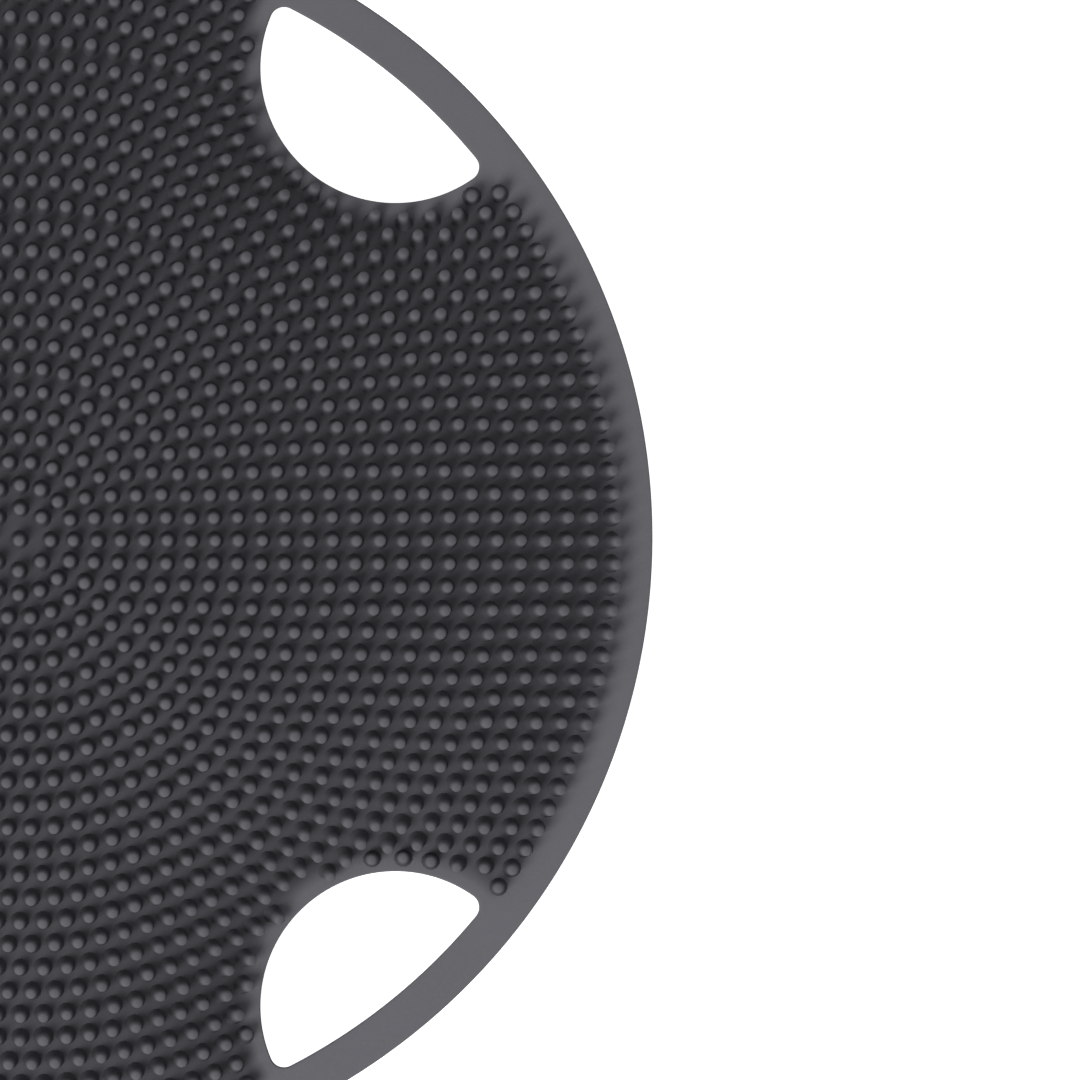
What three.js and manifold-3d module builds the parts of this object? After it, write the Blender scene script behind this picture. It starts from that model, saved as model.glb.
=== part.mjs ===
// Inflated wobble cushion: two flexible skins welded together along a flat rim and around four hand
// holes, with an air valve set into the lower skin.
// Millimetres, +Z up. The cushion lies flat, and the origin is under its centre on the floor.

import * as THREE from "three";
import { mergeVertices } from "three/addons/utils/BufferGeometryUtils.js";
import Module from "manifold-3d";

const wasm = await Module();
wasm.setup();

// ---- Driving dimensions ----------------------------------------------------------------------

const discRadius = 200;             // outer edge of the rim
const rimWidth = 9.5;               // flat weld rim between the hand holes
const skinThickness = 2.35;         // wall of each skin
const partGap = 0.3;                // clearance between pieces that touch
const upperRise = 28;               // crown of the upper skin above the rim
const lowerDrop = 27;               // free depth of the lower skin below the rim
const restDepth = 24;               // rim underside above the floor: the lower skin is pressed flat there
const fullness = 0.8;               // below 1, the skins stand steeper at their edges

const handleAngle = 51.1;           // degrees from the X axis to each hand hole, mirrored in X and Y
const handleRail = 12.7;            // width of the rim outside a hand hole
const handleArcRadius = 42.5;       // inner side of a hand hole
const handleArcInset = 10.3;        // that arc's centre, in from the outer edge of the rim
const handleCornerRadius = 4.4;
const handleMargin = 5;             // flat weld between a hand hole and the air chamber
const handleInfluence = 25;         // how far from the hand hole the skins are still held low

const valveInset = 50;              // valve axis, in from the outer edge of the rim on the -X side
const valveSegments = 24;

// ---- Derived dimensions ----------------------------------------------------------------------

const chamberRadius = discRadius - rimWidth;
const chamberBite = handleArcRadius + handleMargin;
const handleArcCentre = discRadius - handleArcInset;
const valveDistance = discRadius - valveInset;
const rimBottom = restDepth;
const rimTop = rimBottom + 2 * skinThickness + partGap;
const handleAxes = [handleAngle, 180 - handleAngle, 180 + handleAngle, 360 - handleAngle]
  .map((degrees) => THREE.MathUtils.degToRad(degrees));

// ---- Helpers ---------------------------------------------------------------------------------

/** One closed body from a position-only mesh, for boolean work. */
function toManifold(geometry) {
  const plain = geometry.clone();
  plain.deleteAttribute("normal");
  plain.deleteAttribute("uv");
  const merged = mergeVertices(plain, 1e-5);
  return new wasm.Manifold(new wasm.Mesh({
    numProp: 3,
    vertProperties: new Float32Array(merged.attributes.position.array),
    triVerts: new Uint32Array(merged.index.array),
  }));
}

/** A geometry from the result of boolean work. */
function toGeometry(manifold) {
  const mesh = manifold.getMesh();
  const geometry = new THREE.BufferGeometry();
  geometry.setAttribute("position", new THREE.BufferAttribute(new Float32Array(mesh.vertProperties), 3));
  geometry.setIndex(new THREE.BufferAttribute(new Uint32Array(mesh.triVerts), 1));
  return geometry;
}

/** One named piece with its own material. */
function piece(name, geometry, color, roughness) {
  geometry.computeVertexNormals();
  const mesh = new THREE.Mesh(geometry, new THREE.MeshStandardMaterial({ color, roughness }));
  mesh.name = name;
  return mesh;
}

// ---- Shape of the air chamber ----------------------------------------------------------------

/** Inflation of the skins at a point: 1 at the centre, 0 on and outside the chamber's outline. */
function inflation(x, y) {
  let share = 1 - (x * x + y * y) / (chamberRadius * chamberRadius);
  for (const axis of handleAxes) {
    const reach = Math.hypot(
      x - handleArcCentre * Math.cos(axis),
      y - handleArcCentre * Math.sin(axis),
    ) - chamberBite;
    share *= reach > 0 ? 1 - Math.exp(-reach / handleInfluence) : 0;
  }
  return share > 1e-9 ? share ** fullness : 0;
}

const fullInflation = inflation(0, 0);

/** Height of the upper skin's outer face. */
function upperFace(x, y) {
  return rimTop + (upperRise * inflation(x, y)) / fullInflation;
}

/** Height of the lower skin's outer face, flat where it rests on the floor. */
function lowerFace(x, y) {
  return Math.max(0, rimBottom - (lowerDrop * inflation(x, y)) / fullInflation);
}

/** Distance from the centre to the chamber's outline, in the direction of an angle. */
function chamberOutline(angle) {
  let outline = chamberRadius;
  for (const axis of handleAxes) {
    const sideways = handleArcCentre * Math.sin(angle - axis);
    if (Math.abs(sideways) <= chamberBite && Math.cos(angle - axis) > 0) {
      const along = handleArcCentre * Math.cos(angle - axis);
      outline = Math.min(outline, along - Math.sqrt(chamberBite ** 2 - sideways ** 2));
    }
  }
  return outline;
}

/** Directions of the skins' mesh lines: even round the rim, and closer where the outline bites in. */
function meshDirections() {
  const biteSpread = Math.asin(chamberBite / handleArcCentre);
  const biteSteps = 12;
  const cornerStep = THREE.MathUtils.degToRad(0.8);
  const directions = [];
  handleAxes.forEach((axis, index) => {
    for (let step = 0; step <= biteSteps; step += 1) {
      const turn = Math.PI * (step / biteSteps - 0.5);
      directions.push(axis + biteSpread * Math.sin(turn));
    }
    const next = handleAxes[(index + 1) % handleAxes.length] + (index === 3 ? 2 * Math.PI : 0);
    const from = axis + biteSpread;
    const to = next - biteSpread;
    directions.push(from + cornerStep);
    const steps = 2 * Math.round((to - from) / THREE.MathUtils.degToRad(10));
    for (let step = 1; step < steps; step += 1) {
      directions.push(from + ((to - from) * step) / steps);
    }
    directions.push(to - cornerStep);
  });
  return directions;
}

/** The cutter for one hand hole: an arc bitten out of the rim, closed by the rail's own arc. */
function handleCutter(axis) {
  const railArc = discRadius - handleRail;
  const inset = railArc - handleCornerRadius;
  const bite = handleArcRadius - handleCornerRadius;
  const along = (inset ** 2 + handleArcCentre ** 2 - bite ** 2) / (2 * handleArcCentre);
  const sideways = Math.sqrt(inset ** 2 - along ** 2);
  const spread = Math.atan2(sideways, along);
  const turn = Math.atan2(sideways, along - handleArcCentre);
  const outline = new THREE.Shape();
  outline.absarc(0, 0, railArc, -spread, spread, false);
  outline.absarc(along, sideways, handleCornerRadius, spread, turn, false);
  outline.absarc(handleArcCentre, 0, handleArcRadius, turn, 2 * Math.PI - turn, false);
  outline.absarc(along, -sideways, handleCornerRadius, 2 * Math.PI - turn, 2 * Math.PI - spread, false);
  const depth = rimTop + upperRise;
  const cutter = new THREE.ExtrudeGeometry(outline, { depth, bevelEnabled: false, curveSegments: 16 });
  cutter.rotateZ(axis);
  return toManifold(cutter);
}

/** A sheet between two height functions, out to the rim's edge, with the four hand holes cut. */
function skinSolid(topHeight, bottomHeight) {
  const directions = meshDirections();
  const count = directions.length;
  const rings = [];
  for (const share of [0.2, 0.38, 0.54, 0.68, 0.79, 0.88, 0.94, 0.98, 1]) {
    const bite = (angle) => (chamberRadius - chamberOutline(angle)) * share ** 2;
    rings.push((angle) => share * (chamberRadius - bite(angle)));
  }
  rings.push(() => discRadius);
  const positions = [0, 0, topHeight(0, 0), 0, 0, bottomHeight(0, 0)];
  for (const ring of rings) {
    for (const angle of directions) {
      const x = ring(angle) * Math.cos(angle);
      const y = ring(angle) * Math.sin(angle);
      positions.push(x, y, topHeight(x, y), x, y, bottomHeight(x, y));
    }
  }
  const top = (ring, spoke) => 2 + 2 * (ring * count + (spoke % count));
  const bottom = (ring, spoke) => top(ring, spoke) + 1;
  const triangles = [];
  for (let spoke = 0; spoke < count; spoke += 1) {
    triangles.push(0, top(0, spoke), top(0, spoke + 1));
    triangles.push(1, bottom(0, spoke + 1), bottom(0, spoke));
    for (let ring = 1; ring < rings.length; ring += 1) {
      triangles.push(top(ring - 1, spoke), top(ring, spoke), top(ring, spoke + 1));
      triangles.push(top(ring - 1, spoke), top(ring, spoke + 1), top(ring - 1, spoke + 1));
      triangles.push(bottom(ring - 1, spoke), bottom(ring, spoke + 1), bottom(ring, spoke));
      triangles.push(bottom(ring - 1, spoke), bottom(ring - 1, spoke + 1), bottom(ring, spoke + 1));
    }
    const edge = rings.length - 1;
    triangles.push(top(edge, spoke), bottom(edge, spoke), bottom(edge, spoke + 1));
    triangles.push(top(edge, spoke), bottom(edge, spoke + 1), top(edge, spoke + 1));
  }
  const sheet = new THREE.BufferGeometry();
  sheet.setAttribute("position", new THREE.Float32BufferAttribute(positions, 3));
  sheet.setIndex(triangles);
  let solid = toManifold(sheet);
  for (const axis of handleAxes) {
    solid = solid.subtract(handleCutter(axis));
  }
  return solid;
}

// ---- Place of the valve ----------------------------------------------------------------------

/** The valve's own frame: its origin on the lower skin's outer face, its +Z straight out of it. */
function valvePlace() {
  const step = 1;
  const slope = (lowerFace(-valveDistance - step, 0) - lowerFace(-valveDistance + step, 0)) / (2 * step);
  const outward = new THREE.Vector3(-slope, 0, -1).normalize();
  const turn = new THREE.Quaternion().setFromUnitVectors(new THREE.Vector3(0, 0, 1), outward);
  const origin = new THREE.Vector3(-valveDistance, 0, lowerFace(-valveDistance, 0));
  return new THREE.Matrix4().compose(origin, turn, new THREE.Vector3(1, 1, 1));
}

const valveMatrix = valvePlace();

/** A turned piece of the valve, from [radius, height] points in the valve's own frame. */
function valveTurning(profile) {
  const points = profile.map(([radius, height]) => new THREE.Vector2(radius, height));
  const turned = new THREE.LatheGeometry(points, valveSegments);
  return turned.rotateX(Math.PI / 2).applyMatrix4(valveMatrix);
}

// Heights along the valve's axis, positive out of the cushion.
const collarProud = 0.8;
const collarRadius = 10;
const collarInnerFace = -(skinThickness + 0.6);
const weldFlangeRadius = 15;
const weldFlangeThickness = 1.6;
const tubeRadius = 8.2;
const tubeEnd = -14;
const coreBore = 5;
const coreShoulder = -3.2;
const counterboreRadius = 6.3;
const plugSeat = -1.4;
const stemRadius = 2;
const stemEnd = -9.4;
const stemClearance = 0.05;
const needlePassageRadius = stemRadius + stemClearance;
const needlePassageEnd = stemEnd - 1.1;

// ---- Pieces ----------------------------------------------------------------------------------

/** Upper skin: the crowned half that is sat or stood on, and the upper half of the weld rim. */
function upperSkin() {
  const solid = skinSolid(upperFace, (x, y) => upperFace(x, y) - skinThickness);
  return piece("upper_skin", toGeometry(solid), 0x5f5e63, 0.62);
}

/** Lower skin: flat where it rests, with the lower half of the rim and a round hole for the valve. */
function lowerSkin() {
  const sheet = skinSolid((x, y) => lowerFace(x, y) + skinThickness, lowerFace);
  const drill = new THREE.CylinderGeometry(collarRadius + partGap, collarRadius + partGap, 12, 40);
  drill.rotateX(Math.PI / 2).applyMatrix4(valveMatrix);
  return piece("lower_skin", toGeometry(sheet.subtract(toManifold(drill))), 0x58575c, 0.66);
}

/** Valve collar: a stiff bush welded to the inside of the lower skin, which holds the core. */
function valveCollar() {
  const geometry = valveTurning([
    [counterboreRadius, collarProud],
    [counterboreRadius, coreShoulder],
    [coreBore, coreShoulder],
    [coreBore, tubeEnd],
    [tubeRadius, tubeEnd],
    [tubeRadius, collarInnerFace - weldFlangeThickness],
    [weldFlangeRadius, collarInnerFace - weldFlangeThickness],
    [weldFlangeRadius, collarInnerFace],
    [collarRadius, collarInnerFace],
    [collarRadius, collarProud - 0.5],
    [collarRadius - 0.5, collarProud],
    [counterboreRadius, collarProud],
  ]);
  return piece("valve_collar", geometry, 0x38383c, 0.5);
}

/** Valve core: a soft rubber bung with a blind needle passage, held behind the collar's tube. */
function valveCore() {
  const bodyRadius = coreBore - partGap;
  const flangeTop = plugSeat - partGap;
  const flangeBottom = coreShoulder + partGap;
  const barb = tubeEnd - partGap;
  const geometry = valveTurning([
    [0, needlePassageEnd],
    [needlePassageRadius, needlePassageEnd],
    [needlePassageRadius, flangeTop],
    [counterboreRadius - partGap, flangeTop],
    [counterboreRadius - partGap, flangeBottom],
    [bodyRadius, flangeBottom],
    [bodyRadius, barb],
    [bodyRadius + 1, barb],
    [bodyRadius + 1, barb - 1],
    [bodyRadius - 1.6, barb - 3.6],
    [0, barb - 3.6],
  ].reverse());
  return piece("valve_core", geometry, 0x2a2a2c, 0.8);
}

/** Valve plug: a stopper whose stem fills the needle passage and whose head lies in the collar. */
function valvePlug() {
  const headRadius = counterboreRadius - partGap;
  const headTop = collarProud - 0.1;
  const geometry = valveTurning([
    [0, stemEnd],
    [stemRadius - 0.7, stemEnd],
    [stemRadius, stemEnd + 1.1],
    [stemRadius, plugSeat],
    [headRadius, plugSeat],
    [headRadius, headTop - 0.6],
    [headRadius - 0.6, headTop],
    [0, headTop],
  ]);
  return piece("valve_plug", geometry, 0x48484d, 0.55);
}

const group = new THREE.Group();
group.name = "wobble_cushion";
group.add(upperSkin(), lowerSkin(), valveCollar(), valveCore(), valvePlug());

export default group;
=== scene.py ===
import functools
import math
import random

import bpy
import numpy as np
from mathutils import Matrix, Vector
from mathutils.geometry import delaunay_2d_cdt


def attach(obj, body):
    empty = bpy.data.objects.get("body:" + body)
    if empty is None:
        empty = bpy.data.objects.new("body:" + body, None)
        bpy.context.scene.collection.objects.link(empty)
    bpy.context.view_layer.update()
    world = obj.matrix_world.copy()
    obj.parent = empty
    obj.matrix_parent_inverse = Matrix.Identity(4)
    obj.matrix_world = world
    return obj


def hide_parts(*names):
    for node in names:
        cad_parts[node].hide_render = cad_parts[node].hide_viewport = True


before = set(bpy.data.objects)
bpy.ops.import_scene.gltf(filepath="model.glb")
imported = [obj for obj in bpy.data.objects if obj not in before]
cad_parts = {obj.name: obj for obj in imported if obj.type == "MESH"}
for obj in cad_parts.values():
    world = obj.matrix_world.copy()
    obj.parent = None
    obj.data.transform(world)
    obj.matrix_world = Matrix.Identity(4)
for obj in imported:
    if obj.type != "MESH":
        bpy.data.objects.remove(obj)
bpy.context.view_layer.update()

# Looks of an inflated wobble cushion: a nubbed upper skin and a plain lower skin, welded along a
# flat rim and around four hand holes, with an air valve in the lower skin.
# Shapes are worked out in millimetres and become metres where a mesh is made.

MM = 0.001

# ---- Sizes of the cushion ---------------------------------------------------------------------

DISC_RADIUS = 200.0          # outer edge of the rim
CHAMBER_RADIUS = 190.5       # where the air chamber's outline meets the rim
SKIN = 2.35                  # wall of each skin
WELD_GAP = 0.3               # between the skins' CAD solids
RIM_BOTTOM = 24.0            # rim's underside above the floor
RIM_TOP = RIM_BOTTOM + 2 * SKIN + WELD_GAP
RIM_MIDDLE = (RIM_BOTTOM + RIM_TOP) / 2
UPPER_RISE = 28.0            # crown of the upper skin above the rim
LOWER_DROP = 27.0            # free depth of the lower skin, which the floor presses flat
FULLNESS = 0.8               # below 1, the skins stand steeper at their edges
FOOT_FILLET = 0.9            # softens the bend where the skins leave the rim

HANDLE_ANGLES = [math.radians(a) for a in (51.1, 128.9, 231.1, 308.9)]
HANDLE_RAIL = 12.7           # width of the rim outside a hand hole
HANDLE_ARC = 42.5            # radius of a hand hole's inner side
HANDLE_ARC_CENTRE = 189.7    # distance of that arc's centre from the cushion's centre
HANDLE_CORNER = 4.4
HANDLE_MARGIN = 5.0          # flat weld between a hand hole and the chamber
HANDLE_INFLUENCE = 25.0      # how far from a hand hole the skins are still held low
EDGE_ROUND = 0.5             # rounding of the skins' moulded edges
REST_SOFTNESS = 0.3          # in square millimetres, eases the edge of the patch it rests on
SEAM_HALF_GAP = 0.03         # between the rim's middle and the inner face of each skin
GROOVE_DEPTH = 0.25          # fine groove where the two skins meet at a moulded edge
GROOVE_WIDTH = 0.3

NUB_PITCH = 7.32             # between rings of nubs, and nearly between nubs in a ring
NUB_RINGS = 25               # round one nub in the middle
NUB_RING_GROWTH = 0.33       # how many pitches wider every ring is than its own number
NUB_CLEAR = 4.4              # no nub's axis comes closer than this to a hand hole
NUB_CENTRE = (1.6, -0.85)    # middle of the rings, a little off the cushion's own centre
NUB_START = -0.2             # where each ring starts, along its arc from the +X side
NUB_SIDES = 12
NUB_LEAN_SPREAD = 0.02       # chance differences between nubs, as shares
NUB_WIDTH_SPREAD = 0.025
NUB_HEIGHT_SPREAD = 0.02
NUB_FIELD_RIM = 2.0          # plain margin inside the chamber's outline
NUB_FIELD_HOLE = 3.0         # plain margin round a hand hole
NUB_FIELD_FADE = 4.0         # over which the painted shade on the field's floor sets in
# Half widths of a nub at heights above the skin, from its flared root to its nearly flat tip.
NUB_PROFILE = ((3.2, -0.3), (2.5, 1.0), (2.1, 3.0), (1.75, 5.0), (1.5, 5.75), (1.0, 6.05))
NUB_HEIGHT = 6.15

VALVE_DISTANCE = 150.0       # valve axis from the cushion's centre, on the -X side
VALVE_SIDES = 48
VALVE_HOLE = 9.7             # hole in the lower skin, which the collar's lip covers
COLLAR_RADIUS = 10.0
COLLAR_PROUD = 0.8           # heights are along the valve's axis, from the lower skin outwards
COLLAR_INNER_FACE = -(SKIN + 0.6)
WELD_FLANGE = (15.0, 1.6)    # radius and thickness
TUBE_RADIUS = 8.2
TUBE_END = -14.0
CORE_BORE = 5.0
CORE_SHOULDER = -3.2
COUNTERBORE = 6.3
PLUG_SEAT = -1.4
NEEDLE_PASSAGE = (2.05, -10.5)   # radius and end
STEM = (2.0, -9.4)           # radius and end
BARB_PROUD = 1.0             # how far the core's barb stands out behind the collar's tube
BARB_LIP = 1.0
BARB_TAPER = (1.6, 3.6)      # how much narrower and how much lower the core's end is
PLUG_DISH = 4.2              # shallow dish in the plug's head, where a fingernail catches


# ---- Shape of the air chamber -----------------------------------------------------------------

def inflation(x, y):
    """How far the skins are blown out: 1 at the centre, 0 on and outside the chamber's outline."""
    share = np.clip(1 - (x * x + y * y) / CHAMBER_RADIUS ** 2, 0, None)
    for angle in HANDLE_ANGLES:
        centre_x = HANDLE_ARC_CENTRE * math.cos(angle)
        centre_y = HANDLE_ARC_CENTRE * math.sin(angle)
        reach = np.hypot(x - centre_x, y - centre_y) - HANDLE_ARC - HANDLE_MARGIN
        share = share * (1 - np.exp(-np.clip(reach, 0, None) / HANDLE_INFLUENCE))
    return share ** FULLNESS


FULL_INFLATION = float(inflation(np.array([0.0]), np.array([0.0]))[0])


def swell(x, y, rise):
    """Height of a skin off the rim, with a soft bend where it starts."""
    free = (rise + FOOT_FILLET) * inflation(x, y) / FULL_INFLATION
    return np.sqrt(free * free + FOOT_FILLET ** 2) - FOOT_FILLET


def upper_face(x, y):
    """Height of the upper skin's outer face."""
    return RIM_TOP + swell(x, y, UPPER_RISE)


def lower_face(x, y):
    """Height of the lower skin's outer face, which eases into the flat patch it rests on."""
    free = RIM_BOTTOM - swell(x, y, LOWER_DROP)
    return (free + np.sqrt(free * free + REST_SOFTNESS)) / 2


# ---- Outlines of the hand holes ---------------------------------------------------------------

def arc(centre_x, centre_y, radius, start, end, count):
    """Points along an arc, without its last one, so that arcs can follow each other."""
    turns = np.linspace(start, end, count, endpoint=False)
    return np.column_stack((centre_x + radius * np.cos(turns), centre_y + radius * np.sin(turns)))


HOLE_STEPS = (44, 10, 56)    # points along a hand hole's rail side, a corner and its inner side


def hole_outline(angle, offset):
    """A hand hole's outline, grown by an offset: rail side, corner, inner side and corner."""
    rail_radius = DISC_RADIUS - HANDLE_RAIL
    inset = rail_radius - HANDLE_CORNER
    bite = HANDLE_ARC - HANDLE_CORNER
    along = (inset ** 2 + HANDLE_ARC_CENTRE ** 2 - bite ** 2) / (2 * HANDLE_ARC_CENTRE)
    across = math.sqrt(inset ** 2 - along ** 2)
    spread = math.atan2(across, along)
    turn = math.atan2(across, along - HANDLE_ARC_CENTRE)
    corner = HANDLE_CORNER + offset
    full = 2 * math.pi
    rail_steps, corner_steps, inner_steps = HOLE_STEPS
    points = np.vstack((
        arc(0, 0, rail_radius + offset, -spread, spread, rail_steps),
        arc(along, across, corner, spread, turn, corner_steps),
        arc(HANDLE_ARC_CENTRE, 0, HANDLE_ARC + offset, turn, full - turn, inner_steps),
        arc(along, -across, corner, full - turn, full - spread, corner_steps),
    ))
    cosine, sine = math.cos(angle), math.sin(angle)
    return points @ np.array(((cosine, sine), (-sine, cosine)))


def valve_place():
    """The valve's own frame in millimetres: +Z leads straight out of the lower skin."""
    step = 1.0
    heights = lower_face(np.array([-VALVE_DISTANCE - step, -VALVE_DISTANCE + step, -VALVE_DISTANCE]),
                         np.zeros(3))
    slope = (heights[0] - heights[1]) / (2 * step)
    outward = Vector((-slope, 0, -1)).normalized()
    turn = Vector((0, 0, 1)).rotation_difference(outward).to_matrix().to_4x4()
    return Matrix.Translation((-VALVE_DISTANCE, 0, heights[2])) @ turn


def valve_outline(offset):
    """The valve's hole in the lower skin, grown by an offset and seen from above."""
    tilt = abs(valve_place().col[2][2])
    return ring(VALVE_HOLE + offset, VALVE_SIDES) * (tilt, 1) - (VALVE_DISTANCE, 0)


def inside(outline, x, y):
    """True where a point lies inside a closed outline."""
    found = np.zeros(len(x), bool)
    for (start_x, start_y), (end_x, end_y) in zip(outline, np.roll(outline, -1, axis=0)):
        if start_y == end_y:
            continue
        crossing = start_x + (y - start_y) * (end_x - start_x) / (end_y - start_y)
        found ^= ((start_y > y) != (end_y > y)) & (x < crossing)
    return found


# ---- Plans of the skins -----------------------------------------------------------------------

CELL = 4                     # side of the squares that points are sorted into
HOLE_REACH = 75              # a hand hole and its surroundings lie within this of its middle
RIM_SIDES = 480
RIM_RADII = (199.0, 196.5, 194.0, 192.2, 191.2, 190.6, 190.0, 189.2, 188.2, 187.0, 185.5)
HOLE_OFFSETS = (1.5, 3.0, 4.3, 5.0, 5.6, 6.4, 7.4, 8.8, 10.5, 12.5, 15.0, 18.0)
FINE_OFFSET = 8              # up to this far from a hand hole, points stand closer
CROWN_RADIUS = 183.5         # where the even rings of the crown start
FOOT_RADIUS = 165            # outside it, the crown's rings stand closer
FOOT_SPACING = 2.2
CROWN_SPACING = 3.2
EDGE_STEPS = [1 - math.cos(math.radians(turn)) for turn in (0, 22.5, 45, 67.5, 90)]


class Plan:
    """Points and triangles of a skin seen from above, shared by its outer and inner face."""

    def __init__(self, gaps):
        self.gaps = gaps        # each a function from an offset to a grown outline
        self.points = []
        self.edge = []          # distance in from the nearest moulded edge, up to EDGE_ROUND
        self.loops = []         # runs of points that are a moulded edge, each a closed loop
        self.cells = {}

    def add_loop(self, outline, edge, is_boundary):
        """A closed loop of points that are all kept."""
        first = len(self.points)
        for point in outline:
            self._keep(point, edge)
        if is_boundary:
            self.loops.append(list(range(first, len(self.points))))

    def add_spaced(self, points, spacing):
        """Points kept only where no earlier one is within a spacing of them."""
        for point in points:
            if not self._crowded(point, spacing):
                self._keep(point, EDGE_ROUND)

    def _keep(self, point, edge):
        index = len(self.points)
        self.points.append((float(point[0]), float(point[1])))
        self.edge.append(edge)
        self.cells.setdefault(self._cell(point), []).append(index)

    @staticmethod
    def _cell(point):
        return int(point[0] // CELL), int(point[1] // CELL)

    def _crowded(self, point, spacing):
        column, row = self._cell(point)
        for i in (column - 1, column, column + 1):
            for j in (row - 1, row, row + 1):
                for index in self.cells.get((i, j), ()):
                    other = self.points[index]
                    if math.hypot(other[0] - point[0], other[1] - point[1]) < spacing:
                        return True
        return False

    def triangulate(self):
        """Joins the points into triangles, leaving the gaps open."""
        borders = []
        for loop in self.loops:
            borders += [(loop[i - 1], loop[i]) for i in range(len(loop))]
        flat = [Vector(point) for point in self.points]
        result = delaunay_2d_cdt(flat, borders, [], 0, 1e-7)
        corners = np.array([tuple(p) for p in result[0]])
        source = np.full(len(corners), -1)
        for index, origins in enumerate(result[3]):
            source[index] = origins[0]
        triangles = source[np.array([tuple(face) for face in result[2]])]
        points = np.array(self.points)
        middle = points[triangles].mean(axis=1)
        keep = np.ones(len(triangles), bool)
        for gap in self.gaps:
            keep &= ~inside(gap(0.0), middle[:, 0], middle[:, 1])
        self.triangles = triangles[keep]
        a, b, c = (points[self.triangles[:, i]] for i in range(3))
        twist = (b[:, 0] - a[:, 0]) * (c[:, 1] - a[:, 1]) - (b[:, 1] - a[:, 1]) * (c[:, 0] - a[:, 0])
        self.triangles[twist < 0] = self.triangles[twist < 0][:, ::-1]
        self.points = points
        self.edge = np.array(self.edge)
        return self

    def clear(self, points, margin):
        """The points that lie outside every gap by at least a margin."""
        keep = np.hypot(points[:, 0], points[:, 1]) < DISC_RADIUS
        for gap in self.gaps:
            outline = gap(0.0)
            near = np.nonzero(np.hypot(*(points - outline.mean(axis=0)).T) < HOLE_REACH)[0]
            for index in near:
                if np.min(np.hypot(*(outline - points[index]).T)) < margin:
                    keep[index] = False
            keep[near] &= ~inside(outline, points[near, 0], points[near, 1])
        return points[keep]


def ring(radius, count, shift=0.0):
    """Evenly spaced points on a circle round the cushion's centre."""
    return arc(0, 0, radius, shift, shift + 2 * math.pi, count)


def make_plan(gaps):
    """Fine where a skin bends, and coarse on the crown and the flat rim."""
    plan = Plan(gaps)
    for step in EDGE_STEPS:
        inward = step * EDGE_ROUND
        plan.add_loop(ring(DISC_RADIUS - inward, RIM_SIDES), inward, step == 0)
        for gap in gaps:
            plan.add_loop(gap(inward), inward, step == 0)
    for radius in RIM_RADII:
        plan.add_spaced(plan.clear(ring(radius, RIM_SIDES), 1.4), 0.55)
    for offset in HOLE_OFFSETS:
        for gap in gaps:
            outline = gap(offset)
            outline = outline[np.hypot(outline[:, 0], outline[:, 1]) < RIM_RADII[0]]
            plan.add_spaced(plan.clear(outline, 1.2), 0.9 if offset < FINE_OFFSET else 1.4)
    radius = CROWN_RADIUS
    while radius > 2:
        spacing = FOOT_SPACING if radius > FOOT_RADIUS else CROWN_SPACING
        count = max(6, round(2 * math.pi * radius / spacing))
        plan.add_spaced(plan.clear(ring(radius, count), 3.0), spacing * 0.62)
        radius -= spacing
    plan.add_spaced(np.zeros((1, 2)), 0.6)
    return plan.triangulate()


# ---- Meshes -----------------------------------------------------------------------------------

def new_piece(name, corners, faces, material, sharp=None):
    """A smooth-shaded mesh piece, from corners in millimetres."""
    mesh = bpy.data.meshes.new(name)
    mesh.from_pydata((np.asarray(corners) * MM).tolist(), [], [list(face) for face in faces])
    mesh.validate()
    piece = bpy.data.objects.new(name, mesh)
    bpy.context.scene.collection.objects.link(piece)
    mesh.materials.append(material)
    select_only(piece)
    bpy.ops.object.shade_smooth()
    if sharp:
        bpy.ops.object.shade_smooth_by_angle(angle=math.radians(sharp))
    return piece


def select_only(piece):
    """Makes a piece the only selected one, and the active one."""
    bpy.ops.object.select_all(action="DESELECT")
    piece.select_set(True)
    bpy.context.view_layer.objects.active = piece


def rounding(edge):
    """How far a moulded edge has dropped at a distance in from it: a quarter circle."""
    return EDGE_ROUND - np.sqrt(np.clip(EDGE_ROUND ** 2 - (EDGE_ROUND - edge) ** 2, 0, None))


def skin_piece(name, plan, outer, inner, material):
    """A closed skin between two faces over the plan, with a wall along every moulded edge.
    The outer face may be above or below the inner one."""
    x, y = plan.points[:, 0], plan.points[:, 1]
    count = len(x)
    corners = np.vstack((np.column_stack((x, y, outer)), np.column_stack((x, y, inner))))
    upward = outer[0] > inner[0]
    triangles = plan.triangles if upward else plan.triangles[:, ::-1]
    faces = [tuple(face) for face in triangles]
    faces += [tuple(face) for face in triangles[:, ::-1] + count]
    for loop in plan.loops:
        is_rim = math.hypot(*plan.points[loop[0]]) > DISC_RADIUS - 1
        for i in range(len(loop)):
            wall = (loop[i - 1], loop[i - 1] + count, loop[i] + count, loop[i])
            # The rim's loop runs round the solid, and a hole's loop round the gap.
            faces.append(wall if is_rim == upward else wall[::-1])
    return new_piece(name, corners, faces, material, sharp=38)


def nub_floor_shade_share(x, y):
    """Share of the painted shade on the floor between the nubs: 1 among the nubs, falling to 0 on the
    plain margins around them.
    """
    depth = CHAMBER_RADIUS - NUB_FIELD_RIM - np.hypot(x, y)
    for angle in HANDLE_ANGLES:
        centre_x = HANDLE_ARC_CENTRE * math.cos(angle)
        centre_y = HANDLE_ARC_CENTRE * math.sin(angle)
        reach = np.hypot(x - centre_x, y - centre_y) - HANDLE_ARC
        depth = np.minimum(depth, reach - NUB_FIELD_HOLE)
    return np.clip(depth / NUB_FIELD_FADE, 0, 1)


def seam_groove(edge):
    """Depth of the groove between the skins at a distance in from their edge."""
    return GROOVE_DEPTH * np.clip(1 - edge / GROOVE_WIDTH, 0, 1)


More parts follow.
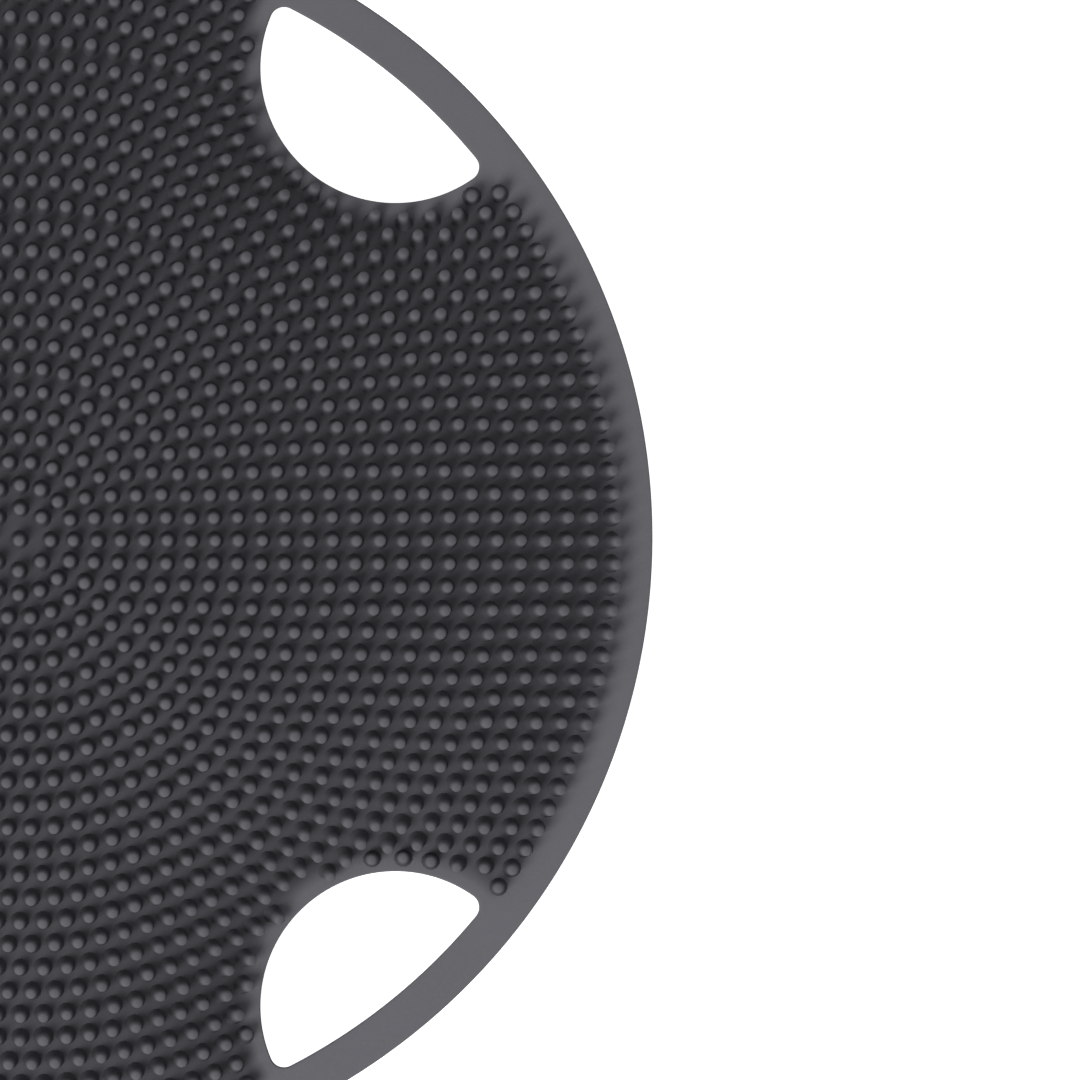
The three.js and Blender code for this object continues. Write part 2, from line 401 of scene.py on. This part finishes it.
def store(piece, quality, values):
    """Keeps one number for each corner of a piece, for its material."""
    layer = piece.data.attributes.new(quality, "FLOAT", "POINT")
    layer.data.foreach_set("value", np.asarray(values, np.float32))


def make_upper_skin(plan, material):
    """Nubbed half: crowned outer face, hollow inner face, and the upper half of the rim."""
    x, y = plan.points[:, 0], plan.points[:, 1]
    outer = upper_face(x, y) - rounding(plan.edge)
    inner = np.maximum(RIM_MIDDLE + SEAM_HALF_GAP, upper_face(x, y) - SKIN) + seam_groove(plan.edge)
    skin = skin_piece("upper_skin_shell", plan, outer, inner, material)
    # The skin's floor among the nubs gets painted shade by this share.
    store(skin, "nubbed", np.concatenate((nub_floor_shade_share(x, y), np.zeros(len(x)))))
    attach(skin, "cushion")
    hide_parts("upper_skin")


def make_lower_skin(plan, material):
    """Plain half: outer face pressed flat on the floor, and the lower half of the rim."""
    x, y = plan.points[:, 0], plan.points[:, 1]
    outer = lower_face(x, y) + rounding(plan.edge)
    inner = np.minimum(RIM_MIDDLE - SEAM_HALF_GAP, lower_face(x, y) + SKIN) - seam_groove(plan.edge)
    skin = skin_piece("lower_skin_shell", plan, outer, inner, material)
    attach(skin, "cushion")
    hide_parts("lower_skin")


# ---- Nubs -------------------------------------------------------------------------------------

def model_nub():
    """One nub, standing on the origin: a disc drawn up station by station to a rounded tip."""
    bpy.ops.object.select_all(action="DESELECT")
    root_radius, root_height = NUB_PROFILE[0]
    bpy.ops.mesh.primitive_circle_add(
        vertices=NUB_SIDES, radius=root_radius, fill_type="NGON", location=(0, 0, root_height))
    nub = bpy.context.object
    bpy.ops.object.transform_apply()
    bpy.ops.object.mode_set(mode="EDIT")
    radius, height = root_radius, root_height
    for next_radius, next_height in NUB_PROFILE[1:]:
        bpy.ops.mesh.extrude_region_move(
            TRANSFORM_OT_translate={"value": (0, 0, next_height - height)})
        factor = next_radius / radius
        bpy.ops.transform.resize(value=(factor, factor, 1), center_override=(0, 0, next_height))
        radius, height = next_radius, next_height
    bpy.ops.mesh.poke(offset=NUB_HEIGHT - height)
    bpy.ops.object.mode_set(mode="OBJECT")
    mesh = nub.data
    corners = np.array([tuple(v.co) for v in mesh.vertices])
    faces = [tuple(polygon.vertices) for polygon in mesh.polygons]
    bpy.data.objects.remove(nub)
    return corners, faces


def nub_ring(number):
    """The nubs of one ring: a single one, then eight, then sixteen. Each later ring has six more,
    and every seventh has eight more."""
    if number == 0:
        return np.array([NUB_CENTRE])
    radius = (number + NUB_RING_GROWTH) * NUB_PITCH
    count = 8 if number == 1 else 6 * number + 4 + 2 * (number // 7)
    return ring(radius, count, NUB_START / radius) + NUB_CENTRE


def nub_places(first_ring, last_ring):
    """Where each nub of some rings stands, clear of the hand holes."""
    for number in range(first_ring, last_ring + 1):
        for point in nub_ring(number):
            gaps = [
                math.hypot(point[0] - HANDLE_ARC_CENTRE * math.cos(angle),
                           point[1] - HANDLE_ARC_CENTRE * math.sin(angle)) - HANDLE_ARC
                for angle in HANDLE_ANGLES
            ]
            if min(gaps) > NUB_CLEAR:
                yield point


def skin_normal(x, y):
    """The upper skin's outward direction at a point."""
    step = 0.5
    east, west, north, south = upper_face(
        np.array([x + step, x - step, x, x]), np.array([y, y, y + step, y - step]))
    return Vector(((west - east) / (2 * step), (south - north) / (2 * step), 1)).normalized()


def make_nubs(name, first_ring, last_ring, material):
    """Some rings of nubs, each a copy of one model, leaning out square to the skin."""
    draw = random.Random(first_ring)
    nub_corners, nub_faces = model_nub()
    height_share = np.clip(nub_corners[:, 2] / NUB_HEIGHT, 0, 1)
    corners, faces, tip, shade = [], [], [], []
    for x, y in nub_places(first_ring, last_ring):
        lean = skin_normal(x, y)
        lean += Vector((draw.gauss(0, NUB_LEAN_SPREAD), draw.gauss(0, NUB_LEAN_SPREAD), 0))
        turn = lean.to_track_quat("Z", "Y").to_matrix()
        spin = Matrix.Rotation(draw.uniform(0, math.tau), 3, "Z")
        width = draw.gauss(1, NUB_WIDTH_SPREAD)
        tall = draw.gauss(1, NUB_HEIGHT_SPREAD)
        place = np.array(turn @ spin @ Matrix.Diagonal((width, width, tall)))
        base = np.array((x, y, float(upper_face(np.array([x]), np.array([y]))[0])))
        first = len(corners) * len(nub_corners)
        corners.append(nub_corners @ place.T + base)
        faces += [tuple(first + i for i in face) for face in nub_faces]
        tip.append(height_share)
        shade.append(np.full(len(nub_corners), draw.uniform(0, 1)))
    nubs = new_piece(name, np.vstack(corners), faces, material, sharp=50)
    store(nubs, "tip", np.concatenate(tip))
    store(nubs, "shade", np.concatenate(shade))
    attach(nubs, "cushion")


# ---- Valve ------------------------------------------------------------------------------------

def turned(name, stations, is_ring, bevel, material, body):
    """A round piece of the valve, drawn station by station from one circle. The stations are
    radii and heights in the valve's own frame; those of a ring end where they start."""
    bpy.ops.object.select_all(action="DESELECT")
    radius, height = (value * MM for value in stations[0])
    bpy.ops.mesh.primitive_circle_add(
        vertices=VALVE_SIDES, radius=radius, location=(0, 0, height),
        fill_type="NOTHING" if is_ring else "NGON")
    made = bpy.context.object
    made.name = name
    bpy.ops.object.transform_apply()
    bpy.ops.object.mode_set(mode="EDIT")
    for next_radius, next_height in stations[1:]:
        rise = next_height * MM - height
        factor = next_radius * MM / radius
        bpy.ops.mesh.extrude_region_move(TRANSFORM_OT_translate={"value": (0, 0, rise)})
        bpy.ops.transform.resize(
            value=(factor, factor, 1), center_override=(0, 0, next_height * MM))
        radius, height = next_radius * MM, next_height * MM
    bpy.ops.mesh.select_all(action="SELECT")
    if is_ring:
        bpy.ops.mesh.remove_doubles(threshold=1e-6)
    bpy.ops.mesh.normals_make_consistent(inside=False)
    bpy.ops.object.mode_set(mode="OBJECT")
    rounded = made.modifiers.new("rounded", "BEVEL")
    rounded.width = bevel * MM
    rounded.segments = 3
    rounded.angle_limit = math.radians(35)
    bpy.ops.object.modifier_apply(modifier="rounded")
    place = valve_place()
    place.translation *= MM
    made.matrix_world = place
    bpy.ops.object.transform_apply()
    made.data.materials.append(material)
    bpy.ops.object.shade_smooth()
    bpy.ops.object.shade_smooth_by_angle(angle=math.radians(35))
    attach(made, body)
    return made


def make_valve(plastic, plug_plastic, rubber):
    """Collar, core and plug, as in a ball valve."""
    flange_radius, flange_thickness = WELD_FLANGE
    collar = turned("valve_collar_bush", (
        (COUNTERBORE, COLLAR_PROUD),
        (COUNTERBORE, CORE_SHOULDER),
        (CORE_BORE, CORE_SHOULDER),
        (CORE_BORE, TUBE_END),
        (TUBE_RADIUS, TUBE_END),
        (TUBE_RADIUS, COLLAR_INNER_FACE - flange_thickness),
        (flange_radius, COLLAR_INNER_FACE - flange_thickness),
        (flange_radius, COLLAR_INNER_FACE),
        (COLLAR_RADIUS, COLLAR_INNER_FACE),
        (COLLAR_RADIUS, COLLAR_PROUD),
        (COUNTERBORE, COLLAR_PROUD),
    ), True, 0.35, plastic, "cushion")
    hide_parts("valve_collar")

    passage_radius, passage_end = NEEDLE_PASSAGE
    core_body = CORE_BORE - WELD_GAP
    core_head = COUNTERBORE - WELD_GAP
    barb = TUBE_END - WELD_GAP
    narrower, lower = BARB_TAPER
    core = turned("valve_core_bung", (
        (passage_radius, passage_end),
        (passage_radius, PLUG_SEAT - WELD_GAP),
        (core_head, PLUG_SEAT - WELD_GAP),
        (core_head, CORE_SHOULDER + WELD_GAP),
        (core_body, CORE_SHOULDER + WELD_GAP),
        (core_body, barb),
        (core_body + BARB_PROUD, barb),
        (core_body + BARB_PROUD, barb - BARB_LIP),
        (core_body - narrower, barb - lower),
    ), False, 0.2, rubber, "cushion")
    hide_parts("valve_core")

    stem_radius, stem_end = STEM
    head_radius = COUNTERBORE - WELD_GAP
    head_top = COLLAR_PROUD - 0.1
    plug = turned("valve_plug_stopper", (
        (stem_radius - 0.7, stem_end),
        (stem_radius, stem_end + 1.1),
        (stem_radius, PLUG_SEAT),
        (head_radius, PLUG_SEAT),
        (head_radius, head_top),
        (PLUG_DISH, head_top),
        (PLUG_DISH - 0.5, head_top - 0.5),
    ), False, 0.3, plug_plastic, "plug")
    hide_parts("valve_plug")


# ---- Materials --------------------------------------------------------------------------------

class Nodes:
    """Adds and joins the nodes of one material."""

    def __init__(self, name):
        self.material = bpy.data.materials.new(name)
        self.material.use_nodes = True
        self.tree = self.material.node_tree
        self.shader = self.tree.nodes["Principled BSDF"]

    def add(self, kind, **values):
        node = self.tree.nodes.new(kind)
        for key, value in values.items():
            if key in node.inputs:
                node.inputs[key].default_value = value
            else:
                setattr(node, key, value)
        return node

    def join(self, source, target):
        self.tree.links.new(source, target)

    def noise(self, scale, detail=3.0, roughness=0.5):
        """Noise over the piece's own coordinates; scale is in repeats per metre."""
        place = self.add("ShaderNodeTexCoord")
        noise = self.add("ShaderNodeTexNoise", Scale=scale, Detail=detail, Roughness=roughness)
        self.join(place.outputs["Object"], noise.inputs["Vector"])
        return noise.outputs["Fac"]

    def ramp(self, source, low, high, start=0.0, end=1.0):
        """A source mapped from one range to another, held at its ends."""
        node = self.add("ShaderNodeMapRange")
        node.inputs["From Min"].default_value = start
        node.inputs["From Max"].default_value = end
        node.inputs["To Min"].default_value = low
        node.inputs["To Max"].default_value = high
        self.join(source, node.inputs["Value"])
        return node.outputs["Result"]

    def mix(self, factor, low, high):
        """Mixes two colours, each a tuple or a socket."""
        node = self.add("ShaderNodeMix", data_type="RGBA")
        self.join(factor, node.inputs[0])
        for value, socket in ((low, node.inputs[6]), (high, node.inputs[7])):
            if isinstance(value, tuple):
                socket.default_value = (*value, 1)
            else:
                self.join(value, socket)
        return node.outputs[2]

    def bump(self, layers):
        """Stacks height layers, each a source and its depth in metres, into the normal."""
        normal = None
        for source, depth in layers:
            node = self.add("ShaderNodeBump", Distance=depth)
            self.join(source, node.inputs["Height"])
            if normal is not None:
                self.join(normal, node.inputs["Normal"])
            normal = node.outputs["Normal"]
        self.join(normal, self.shader.inputs["Normal"])


def moulded_pvc(name, light):
    """Soft matte PVC: a slightly cloudy colour and a fine mould grain."""
    nodes = Nodes(name)
    clouds = nodes.noise(28, detail=4)
    grain = nodes.noise(1600, detail=2, roughness=0.7)
    colour = nodes.mix(nodes.ramp(clouds, 0, 1, 0.3, 0.7), scaled(light, 0.92), light)
    colour = nodes.mix(nodes.ramp(grain, 0, 1, 0.4, 0.8), colour, scaled(light, 1.04))
    nodes.join(colour, nodes.shader.inputs["Base Color"])
    nodes.join(nodes.ramp(clouds, 0.66, 0.76, 0.3, 0.7), nodes.shader.inputs["Roughness"])
    nodes.shader.inputs["Specular IOR Level"].default_value = 0.2
    nodes.bump(((nodes.noise(420, detail=3), 0.00007), (grain, 0.00002)))
    return nodes, colour


def scaled(colour, factor):
    """A colour made darker or lighter."""
    return tuple(channel * factor for channel in colour)


def skin_pvc(name, light, painted_shade):
    """PVC with painted shade: darker on the floor between the nubs, where shade falls."""
    nodes, colour = moulded_pvc(name, light)
    nubbed = nodes.add("ShaderNodeAttribute", attribute_name="nubbed").outputs["Fac"]
    # Painted shade, laid over the nub field where the floor between the nubs lies in shade.
    nodes.join(nodes.mix(nubbed, colour, painted_shade), nodes.shader.inputs["Base Color"])
    return nodes.material


def nub_pvc(name, light, painted_shade):
    """PVC with painted shade: dark over a nub's lower part, where shade falls between the nubs, and a
    little darker again at its tip, which catches the most light.
    """
    nodes, colour = moulded_pvc(name, light)
    tip = nodes.add("ShaderNodeAttribute", attribute_name="tip").outputs["Fac"]
    shade = nodes.add("ShaderNodeAttribute", attribute_name="shade").outputs["Fac"]
    # Painted shade on the tips, which catch the most light; how dark it is differs at random from nub
    # to nub.
    dimmed_tip = nodes.mix(shade, scaled(light, 0.74), scaled(light, 0.82))
    upper = nodes.mix(nodes.ramp(tip, 0, 1, 0.85, 1.0), colour, dimmed_tip)
    # Painted shade over the lower part of each nub, where shade falls between the nubs.
    lower_to_upper = nodes.mix(nodes.ramp(tip, 0, 1, 0.45, 0.92), painted_shade, upper)
    nodes.join(lower_to_upper, nodes.shader.inputs["Base Color"])
    return nodes.material


def moulded_part(name, dark, light, roughness, grain_depth):
    """A small moulded part of one colour with a faint grain and handling marks."""
    nodes = Nodes(name)
    marks = nodes.noise(240, detail=4)
    colour = nodes.mix(nodes.ramp(marks, 0, 1, 0.35, 0.65), dark, light)
    nodes.join(colour, nodes.shader.inputs["Base Color"])
    rough = nodes.ramp(marks, roughness - 0.06, roughness + 0.06, 0.3, 0.7)
    nodes.join(rough, nodes.shader.inputs["Roughness"])
    nodes.bump(((nodes.noise(2200, detail=2), grain_depth),))
    return nodes.material


# ---- Studio -----------------------------------------------------------------------------------

VIEW_WIDTH = 0.3397          # width of what the camera sees at the rim
VIEW_CENTRE = (0.1646, -0.0009)
CAMERA_HEIGHT = 6.0
SENSOR = 36.0
KEY_TURN = math.radians(230)
KEY_RISE = math.radians(45)
KEY_DISTANCE = 5.0
KEY_SIZE = (2.8, 2.8)        # across and up
KEY_ENERGY = 215
FILL_STRENGTH = 0.48
BACKDROP_STRENGTH = 0.95
FLOOR_GLOW = 0.94            # keeps shadows on the floor faint


def make_camera():
    """A long lens straight above the rim's right-hand half."""
    data = bpy.data.cameras.new("camera")
    data.sensor_width = SENSOR
    data.lens = SENSOR * CAMERA_HEIGHT / VIEW_WIDTH
    data.clip_start = 0.1
    data.clip_end = 100
    camera = bpy.data.objects.new("camera", data)
    camera.location = (*VIEW_CENTRE, CAMERA_HEIGHT + RIM_TOP * MM)
    bpy.context.scene.collection.objects.link(camera)
    bpy.context.scene.camera = camera


def make_key_light():
    """One broad, low light that rakes over the nubs."""
    data = bpy.data.lights.new("key", "AREA")
    data.shape = "RECTANGLE"
    data.size, data.size_y = KEY_SIZE
    data.energy = KEY_ENERGY
    light = bpy.data.objects.new("key", data)
    toward = Vector((
        math.cos(KEY_RISE) * math.cos(KEY_TURN),
        math.cos(KEY_RISE) * math.sin(KEY_TURN),
        math.sin(KEY_RISE),
    ))
    light.location = toward * KEY_DISTANCE
    light.rotation_mode = "QUATERNION"
    light.rotation_quaternion = toward.to_track_quat("Z", "Y")
    bpy.context.scene.collection.objects.link(light)


def make_world():
    """Dim even light all round, behind a backdrop that looks pale."""
    world = bpy.data.worlds.new("studio")
    bpy.context.scene.world = world
    world.use_nodes = True
    tree = world.node_tree
    fill = tree.nodes["Background"]
    fill.inputs["Color"].default_value = (1, 1, 1.03, 1)
    fill.inputs["Strength"].default_value = FILL_STRENGTH
    pale = tree.nodes.new("ShaderNodeBackground")
    pale.inputs["Color"].default_value = (1, 1, 1, 1)
    pale.inputs["Strength"].default_value = BACKDROP_STRENGTH
    path = tree.nodes.new("ShaderNodeLightPath")
    choose = tree.nodes.new("ShaderNodeMixShader")
    tree.links.new(path.outputs["Is Camera Ray"], choose.inputs[0])
    tree.links.new(fill.outputs[0], choose.inputs[1])
    tree.links.new(pale.outputs[0], choose.inputs[2])
    tree.links.new(choose.outputs[0], tree.nodes["World Output"].inputs["Surface"])


def make_floor():
    """A wide white table that glows a little, so that shadows on it stay faint."""
    bpy.ops.object.select_all(action="DESELECT")
    bpy.ops.mesh.primitive_plane_add(size=60, location=(0, 0, 0))
    floor = bpy.context.object
    floor.name = "floor"
    material = bpy.data.materials.new("floor_white")
    material.use_nodes = True
    tree = material.node_tree
    shader = tree.nodes["Principled BSDF"]
    shader.inputs["Base Color"].default_value = (0.86, 0.86, 0.86, 1)
    shader.inputs["Roughness"].default_value = 0.9
    glow = tree.nodes.new("ShaderNodeEmission")
    glow.inputs["Strength"].default_value = FLOOR_GLOW
    path = tree.nodes.new("ShaderNodeLightPath")
    none = tree.nodes.new("ShaderNodeEmission")
    none.inputs["Strength"].default_value = 0
    choose = tree.nodes.new("ShaderNodeMixShader")
    both = tree.nodes.new("ShaderNodeAddShader")
    tree.links.new(path.outputs["Is Camera Ray"], choose.inputs[0])
    tree.links.new(none.outputs[0], choose.inputs[1])
    tree.links.new(glow.outputs[0], choose.inputs[2])
    tree.links.new(shader.outputs[0], both.inputs[0])
    tree.links.new(choose.outputs[0], both.inputs[1])
    tree.links.new(both.outputs[0], tree.nodes["Material Output"].inputs["Surface"])
    floor.data.materials.append(material)


# ---- Making it --------------------------------------------------------------------------------

make_camera()
make_key_light()
make_world()
make_floor()
bpy.context.scene.view_settings.view_transform = "Standard"

pvc = (0.126, 0.124, 0.137)
# Painted shade: a darker colour for the floor between the nubs and for the nubs' lower parts.
painted_shade_pvc = (0.060, 0.059, 0.066)
upper_material = skin_pvc("upper_skin_pvc", pvc, painted_shade_pvc)
nub_material = nub_pvc("nub_pvc", pvc, painted_shade_pvc)
lower_material = moulded_pvc("lower_skin_pvc", pvc)[0].material
collar_plastic = moulded_part("collar_plastic", (0.03, 0.03, 0.034), (0.036, 0.036, 0.04), 0.45, 2e-5)
plug_plastic = moulded_part("plug_plastic", (0.055, 0.054, 0.06), (0.065, 0.064, 0.07), 0.5, 2e-5)
core_rubber = moulded_part("core_rubber", (0.018, 0.018, 0.02), (0.026, 0.026, 0.028), 0.8, 4e-5)

hand_holes = [functools.partial(hole_outline, angle) for angle in HANDLE_ANGLES]
make_upper_skin(make_plan(hand_holes), upper_material)
make_lower_skin(make_plan([*hand_holes, valve_outline]), lower_material)
make_nubs("upper_skin_nubs_inner", 0, 17, nub_material)
make_nubs("upper_skin_nubs_outer", 18, NUB_RINGS, nub_material)
make_valve(collar_plastic, plug_plastic, core_rubber)
